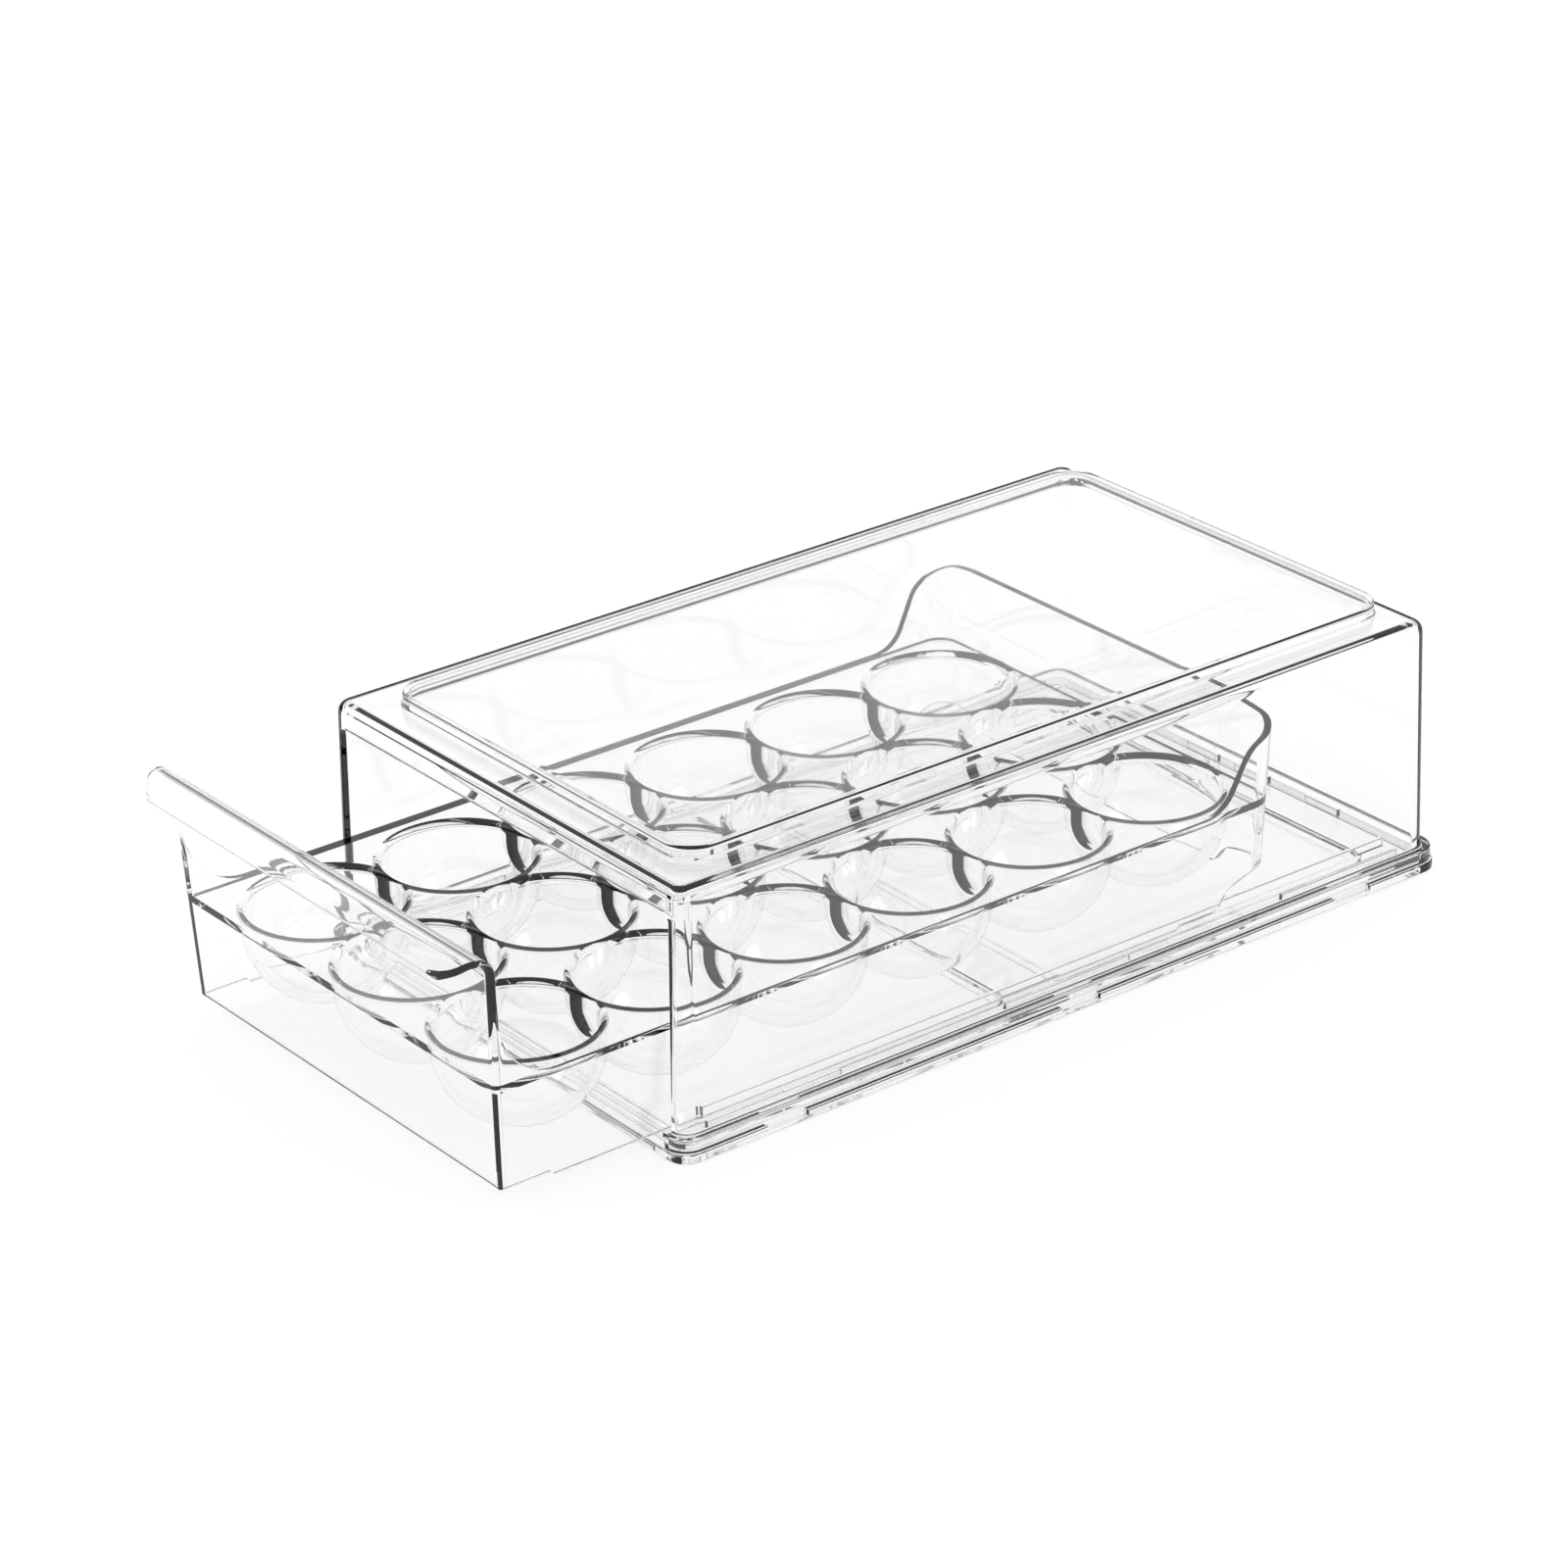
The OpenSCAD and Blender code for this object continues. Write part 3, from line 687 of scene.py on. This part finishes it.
def wall_bottom():
    """The wall's lower edge as (length, height): panel, step, skirt, rear cut, arch, rear foot."""
    foot_z = 9.2
    step = DRAWER_FRONT + 18.5
    step_l = 1.4
    skirt_end = DRAWER_REAR - 41
    tail_z = SKIRT_Z + 1.2
    cut = DRAWER_REAR - 25
    edge = [(WALL_START, PANEL_Z), (step, PANEL_Z), (step + step_l, SKIRT_Z),
            (skirt_end, SKIRT_Z), (skirt_end + step_l, tail_z)]
    edge += smooth_curve([
        (cut, tail_z), (cut + 1.9, SKIRT_Z + 2.1), (cut + 3.6, 11), (cut + 6, 13.6),
        (cut + 9, 15), (cut + 14, 16.7), (cut + 19, 18), (CORNER_END - 4, 18.5),
        (WALL_END - 72, 18.2), (WALL_END - 65, 17), (WALL_END - 61.5, 15.6),
        (WALL_END - 59, 12.4), (WALL_END - 57, 10), (WALL_END - 54.5, foot_z),
        (WALL_END - 50, foot_z)], per_span=5)
    edge += [(WALL_END, foot_z)]
    return edge


def resample(edge, stations):
    """The edge's heights at the given lengths, as (length, height)."""
    s, z = zip(*edge)
    return [(t, float(np.interp(t, s, z))) for t in stations]


def lowered_edge(edge, amount):
    """The edge moved down by an amount, at right angles to itself, or up by a negative one."""
    moved = []
    for i, (s, z) in enumerate(edge):
        a, b = edge[max(i - 1, 0)], edge[min(i + 1, len(edge) - 1)]
        length = math.hypot(b[0] - a[0], b[1] - a[1])
        ns, nz = (b[1] - a[1]) / length, -(b[0] - a[0]) / length
        moved.append((s + ns * amount, z + nz * amount))
    return moved


def wall_strip():
    """Side walls and rear wall as one bent sheet with rounded edges."""
    top, bottom = wall_top(), wall_bottom()
    corner = [CORNER_START + REAR_R * math.pi / 2 * k / REAR_CORNER_STEPS
              for k in range(REAR_CORNER_STEPS + 1)]
    stations = sorted({round(s, 4) for s in [s for s, _ in top + bottom] + corner})
    top = resample(top, stations)
    bottom = resample(bottom, stations)
    half = []
    for depth in depth_steps(WALL_T, SHEET_EDGE_R):
        inset = edge_inset(depth, WALL_T, SHEET_EDGE_R)
        low = lowered_edge(bottom, -inset)
        high = lowered_edge(top, inset)
        column = []
        for (s0, z0), (s1, z1) in zip(low, high):
            column.append([on_wall(s0 + (s1 - s0) * t, z0 + (z1 - z0) * t, depth)
                           for t in (0, 0.5, 1)])
        half.append(column)
    right = np.transpose(np.array(half), (1, 2, 0, 3))
    left = right[::-1] * np.array([-1, 1, 1])
    return lattice("walls", np.concatenate([right, left[1:]]))


def panel_line():
    """The panel's front face from its foot to the lip's tip, as (y, z, degrees it has turned)."""
    line = [(front_y(PANEL_Z + (CURL_Z - PANEL_Z) * t), PANEL_Z + (CURL_Z - PANEL_Z) * t, 0.0)
            for t in np.linspace(0, 1, PANEL_STEPS + 1)[:-1]]
    inner = CURL_R - WALL_T
    cy = front_y(CURL_Z) - inner
    for k in range(CURL_STEPS + 1):
        turn = CURL_TURN * k / CURL_STEPS
        a = math.radians(turn)
        line.append((cy + inner * math.cos(a), CURL_Z + inner * math.sin(a), turn))
    y, z, turn = line[-1]
    for run, extra in ((LIP_RUN, 0), (LIP_TIP, LIP_TIP_TURN)):
        for k in range(1, LIP_STEPS + 1):
            bend = extra * k / LIP_STEPS
            a = math.radians(turn + 90 + bend)
            y += run / LIP_STEPS * math.cos(a)
            z += run / LIP_STEPS * math.sin(a)
            line.append((y, z, turn + bend))
    return line


def front_panel():
    """Panel and curled lip: a bent sheet with rounded upright corners and a rounded tip."""
    line = panel_line()
    last = len(line) - 1
    tip_margin = 0.5
    tip_y = line[last][0] - tip_margin
    sheet_steps = 8
    corner_blend = 2
    round_from_z = CURL_Z - 12
    depths = sorted(set(depth_steps(WALL_T, PANEL_EDGE_R))
                    | {WALL_T * k / sheet_steps for k in range(sheet_steps + 1)})
    grid = []
    for i, (y, z, turn) in enumerate(line):
        a = math.radians(turn)
        row = []
        for depth in depths:
            py, pz = y + depth * math.cos(a), z + depth * math.sin(a)
            inset = edge_inset(depth, WALL_T, PANEL_EDGE_R)
            along_y, along_z = -math.sin(a), math.cos(a)
            if i == last:
                py, pz = py - inset * along_y, pz - inset * along_z
            if i == 0:
                py, pz = py + inset * along_y, pz + inset * along_z
            half = side_x(min(pz, CURL_Z))
            corner = 0.0
            if depth < FRONT_R:
                corner = FRONT_R - math.sqrt(max(0.0, FRONT_R ** 2 - (FRONT_R - depth) ** 2))
            near = tip_y + LIP_CORNER_R - py
            if near > 0:
                near = min(near, LIP_CORNER_R)
                corner = max(corner * max(0.0, 1 - near / corner_blend),
                             LIP_CORNER_R - math.sqrt(LIP_CORNER_R ** 2 - near ** 2) + inset)
            if z > round_from_z:
                corner = max(corner, inset)
            row.append([(-half + corner, py, pz), (half - corner, py, pz)])
        grid.append(row)
    return lattice("panel", grid)


def corner_fillet(side):
    """A fillet up the inside of a front corner, from the deck to under the end of the sweep."""
    into = 0.4
    full_r = 1.6
    rings = []
    for z, r in ((DECK_Z - OVERLAP, full_r), (SWEEP_Z - 11, full_r), (SWEEP_Z - 8, 1.0),
                 (SWEEP_Z - 5, 0.35), (SWEEP_Z - 3, 0.1)):
        x, y = side_x(z) - WALL_T, front_y(z) + WALL_T
        ring = [(x - r, y - into), (x + into, y - into), (x + into, y + r)]
        ring += [(x - r + r * math.cos(t), y + r - r * math.sin(t))
                 for t in np.linspace(0, math.pi / 2, FILLET_STEPS + 1)]
        rings.append(np.array([(side * px, py, z) for px, py in ring]))
    return loft("fillet", rings)


def deck_slab():
    """The deck between the walls, reaching into their middle."""
    into = WALL_T / 2
    rings = []
    for z in (DECK_Z - DECK_T, DECK_Z):
        rings.append(rectangle_ring(side_x(z) - into, front_y(z) + into, rear_y(z) - into, z,
                                    REAR_R - into, DECK_FRONT_R))
    return loft("deck", rings)


def cup_centres(parity):
    """Centres of every other cup, as on a checkerboard, so that none overlap."""
    return [((column - (COLUMNS - 1) / 2) * PITCH_X, FIRST_ROW_Y + row * PITCH_Y)
            for row in range(ROWS) for column in range(COLUMNS) if (row + column) % 2 == parity]


def cup_outside():
    """Half section of a cup's outside: round bottom, straight wall, small fillet into the deck."""
    r = CUP_R + CUP_T
    low = DECK_Z - DECK_T
    profile = [(r * math.sin(t), CUP_MID_Z - r * math.cos(t))
               for t in np.linspace(0, math.pi / 2, CUP_ARC_STEPS + 1)]
    profile[0] = (0, profile[0][1])
    for k in range(FILLET_STEPS + 1):
        t = math.pi / 2 * k / FILLET_STEPS
        profile.append((r + CUP_FILLET_R * (1 - math.cos(t)), low - CUP_FILLET_R * (1 - math.sin(t))))
    profile += [(r + CUP_FILLET_R, DECK_Z - OVERLAP), (0, DECK_Z - OVERLAP)]
    return profile


def cup_inside():
    """Half section of the space in a cup, opening out over its rounded rim."""
    profile = [(CUP_R * math.sin(t), CUP_MID_Z - CUP_R * math.cos(t))
               for t in np.linspace(0, math.pi / 2, CUP_ARC_STEPS + 1)]
    profile[0] = (0, profile[0][1])
    rim = DECK_Z - CUP_RIM_R
    for k in range(RIM_STEPS + 1):
        t = math.pi / 2 * k / RIM_STEPS
        profile.append((CUP_R + CUP_RIM_R * (1 - math.cos(t)), rim + CUP_RIM_R * math.sin(t)))
    profile += [(CUP_R + CUP_RIM_R, DECK_Z + 2 * OVERLAP), (0, DECK_Z + 2 * OVERLAP)]
    return profile


def make_drawer(material):
    drawer = wall_strip()
    combine(drawer, [front_panel(), corner_fillet(-1), corner_fillet(1), deck_slab()], "UNION")
    for parity in (0, 1):
        combine(drawer, [revolve("cups", cup_outside(), cup_centres(parity))], "UNION")
    for parity in (0, 1):
        combine(drawer, [revolve("hollows", cup_inside(), cup_centres(parity))], "DIFFERENCE")
    nodes = nodes_called("front_panel", "side_wall", "rear_wall", "egg_cup")
    finish_piece(drawer, "egg_drawer", "drawer", material, nodes)


# ---------- studio ----------

def make_camera():
    """A long lens from the front right, a little above."""
    azimuth, elevation, roll = (math.radians(a) for a in (52.34, 25.45, -1.2))
    right_shift, up_shift, distance = 86.32, 83.19, 1660.93
    frame_shift_y = 1.5
    back = Vector((math.sin(azimuth) * math.cos(elevation),
                   -math.cos(azimuth) * math.cos(elevation), math.sin(elevation)))
    right = Vector((math.cos(azimuth), math.sin(azimuth), 0))
    up = back.cross(right)
    x_axis = right * math.cos(roll) + up * math.sin(roll)
    y_axis = -right * math.sin(roll) + up * math.cos(roll)
    place = x_axis * right_shift + y_axis * up_shift + back * distance + Vector((0, frame_shift_y, 0))
    camera = bpy.data.cameras.new("camera")
    camera.lens = 121.68
    camera.sensor_width = 36
    camera.clip_start = 0.05
    camera.clip_end = 60
    holder = bpy.data.objects.new("camera", camera)
    turn = Matrix((x_axis, y_axis, back)).transposed().to_4x4()
    holder.matrix_world = Matrix.Translation(place * MM) @ turn
    bpy.context.scene.collection.objects.link(holder)
    bpy.context.scene.camera = holder


def make_floor():
    """A pale light-table floor: it glows softly, so clear plastic leaves hardly any shadow."""
    half = 12000
    top_z = -0.3
    material = bpy.data.materials.new("floor_white")
    material.use_nodes = True
    shader = material.node_tree.nodes["Principled BSDF"]
    shader.inputs["Base Color"].default_value = (0.2, 0.2, 0.2, 1)
    shader.inputs["Roughness"].default_value = 0.9
    shader.inputs["Specular IOR Level"].default_value = 0.0
    shader.inputs["Emission Color"].default_value = (1, 1, 1, 1)
    shader.inputs["Emission Strength"].default_value = 0.84
    mesh = bpy.data.meshes.new("floor")
    corners = [(-half, -half, top_z), (half, -half, top_z), (half, half, top_z), (-half, half, top_z)]
    mesh.from_pydata((np.array(corners) * MM).tolist(), [], [[0, 1, 2, 3]])
    mesh.materials.append(material)
    floor = bpy.data.objects.new("floor", mesh)
    bpy.context.scene.collection.objects.link(floor)


def make_light():
    """Soft studio surroundings: bright overhead, dim near the horizon on the camera's left."""
    world = bpy.data.worlds.new("studio")
    bpy.context.scene.world = world
    world.use_nodes = True
    nodes, links = world.node_tree.nodes, world.node_tree.links
    background = nodes["Background"]
    place = nodes.new("ShaderNodeTexCoord")
    split = nodes.new("ShaderNodeSeparateXYZ")
    ramp = nodes.new("ShaderNodeValToRGB")
    sky = ((0.0, 0.03), (0.14, 0.08), (0.25, 0.4), (0.38, 0.95), (1.0, 1.0))
    sky_blue = 1.02
    bright_side = (0.611, 0.792, 0)
    lamps = (("key", (-900, -1300, 1500), 900, 6), ("fill", (1500, 600, 900), 700, 3))
    aim_at = Vector((0, MID_Y * MM, 0.04))
    while len(ramp.color_ramp.elements) < len(sky):
        ramp.color_ramp.elements.new(1.0)
    for element, (height, grey) in zip(ramp.color_ramp.elements, sky):
        element.position = height
        element.color = (grey, grey, grey * sky_blue, 1)
    card = nodes.new("ShaderNodeVectorMath")
    card.operation = "DOT_PRODUCT"
    card.inputs[1].default_value = bright_side
    lift = nodes.new("ShaderNodeMapRange")
    lift.inputs["From Min"].default_value = 0.35
    lift.inputs["From Max"].default_value = 0.75
    lift.inputs["To Max"].default_value = 0.3
    height = nodes.new("ShaderNodeMath")
    height.operation = "ADD"
    links.new(place.outputs["Generated"], split.inputs["Vector"])
    links.new(place.outputs["Generated"], card.inputs[0])
    links.new(card.outputs["Value"], lift.inputs["Value"])
    links.new(split.outputs["Z"], height.inputs[0])
    links.new(lift.outputs["Result"], height.inputs[1])
    links.new(height.outputs["Value"], ramp.inputs["Fac"])
    seen = nodes.new("ShaderNodeLightPath")
    choose = nodes.new("ShaderNodeMix")
    choose.data_type = "RGBA"
    choose.inputs["B"].default_value = (1, 1, 1, 1)
    links.new(seen.outputs["Is Camera Ray"], choose.inputs["Factor"])
    links.new(ramp.outputs["Color"], choose.inputs["A"])
    links.new(choose.outputs["Result"], background.inputs["Color"])
    background.inputs["Strength"].default_value = 1.0
    for name, place_mm, size, power in lamps:
        lamp = bpy.data.lights.new(name, "AREA")
        lamp.shape = "SQUARE"
        lamp.size = size * MM
        lamp.energy = power
        holder = bpy.data.objects.new(name, lamp)
        holder.location = Vector(place_mm) * MM
        aim = aim_at - holder.location
        holder.rotation_euler = aim.to_track_quat("-Z", "Y").to_euler()
        bpy.context.scene.collection.objects.link(holder)


def make_render_settings():
    """Many bounces through the plastic; few glossy ones, so light piped along a sheet stays dark."""
    scene = bpy.context.scene
    through_bounces = 40
    scene.cycles.max_bounces = through_bounces
    scene.cycles.transmission_bounces = through_bounces
    scene.cycles.transparent_max_bounces = through_bounces
    scene.cycles.glossy_bounces = 4
    scene.view_settings.view_transform = "Standard"


make_camera()
make_floor()
make_light()
make_render_settings()
make_cover(clear_plastic("clear_cover"))
make_base(clear_plastic("clear_base"))
make_drawer(clear_plastic("clear_drawer"))
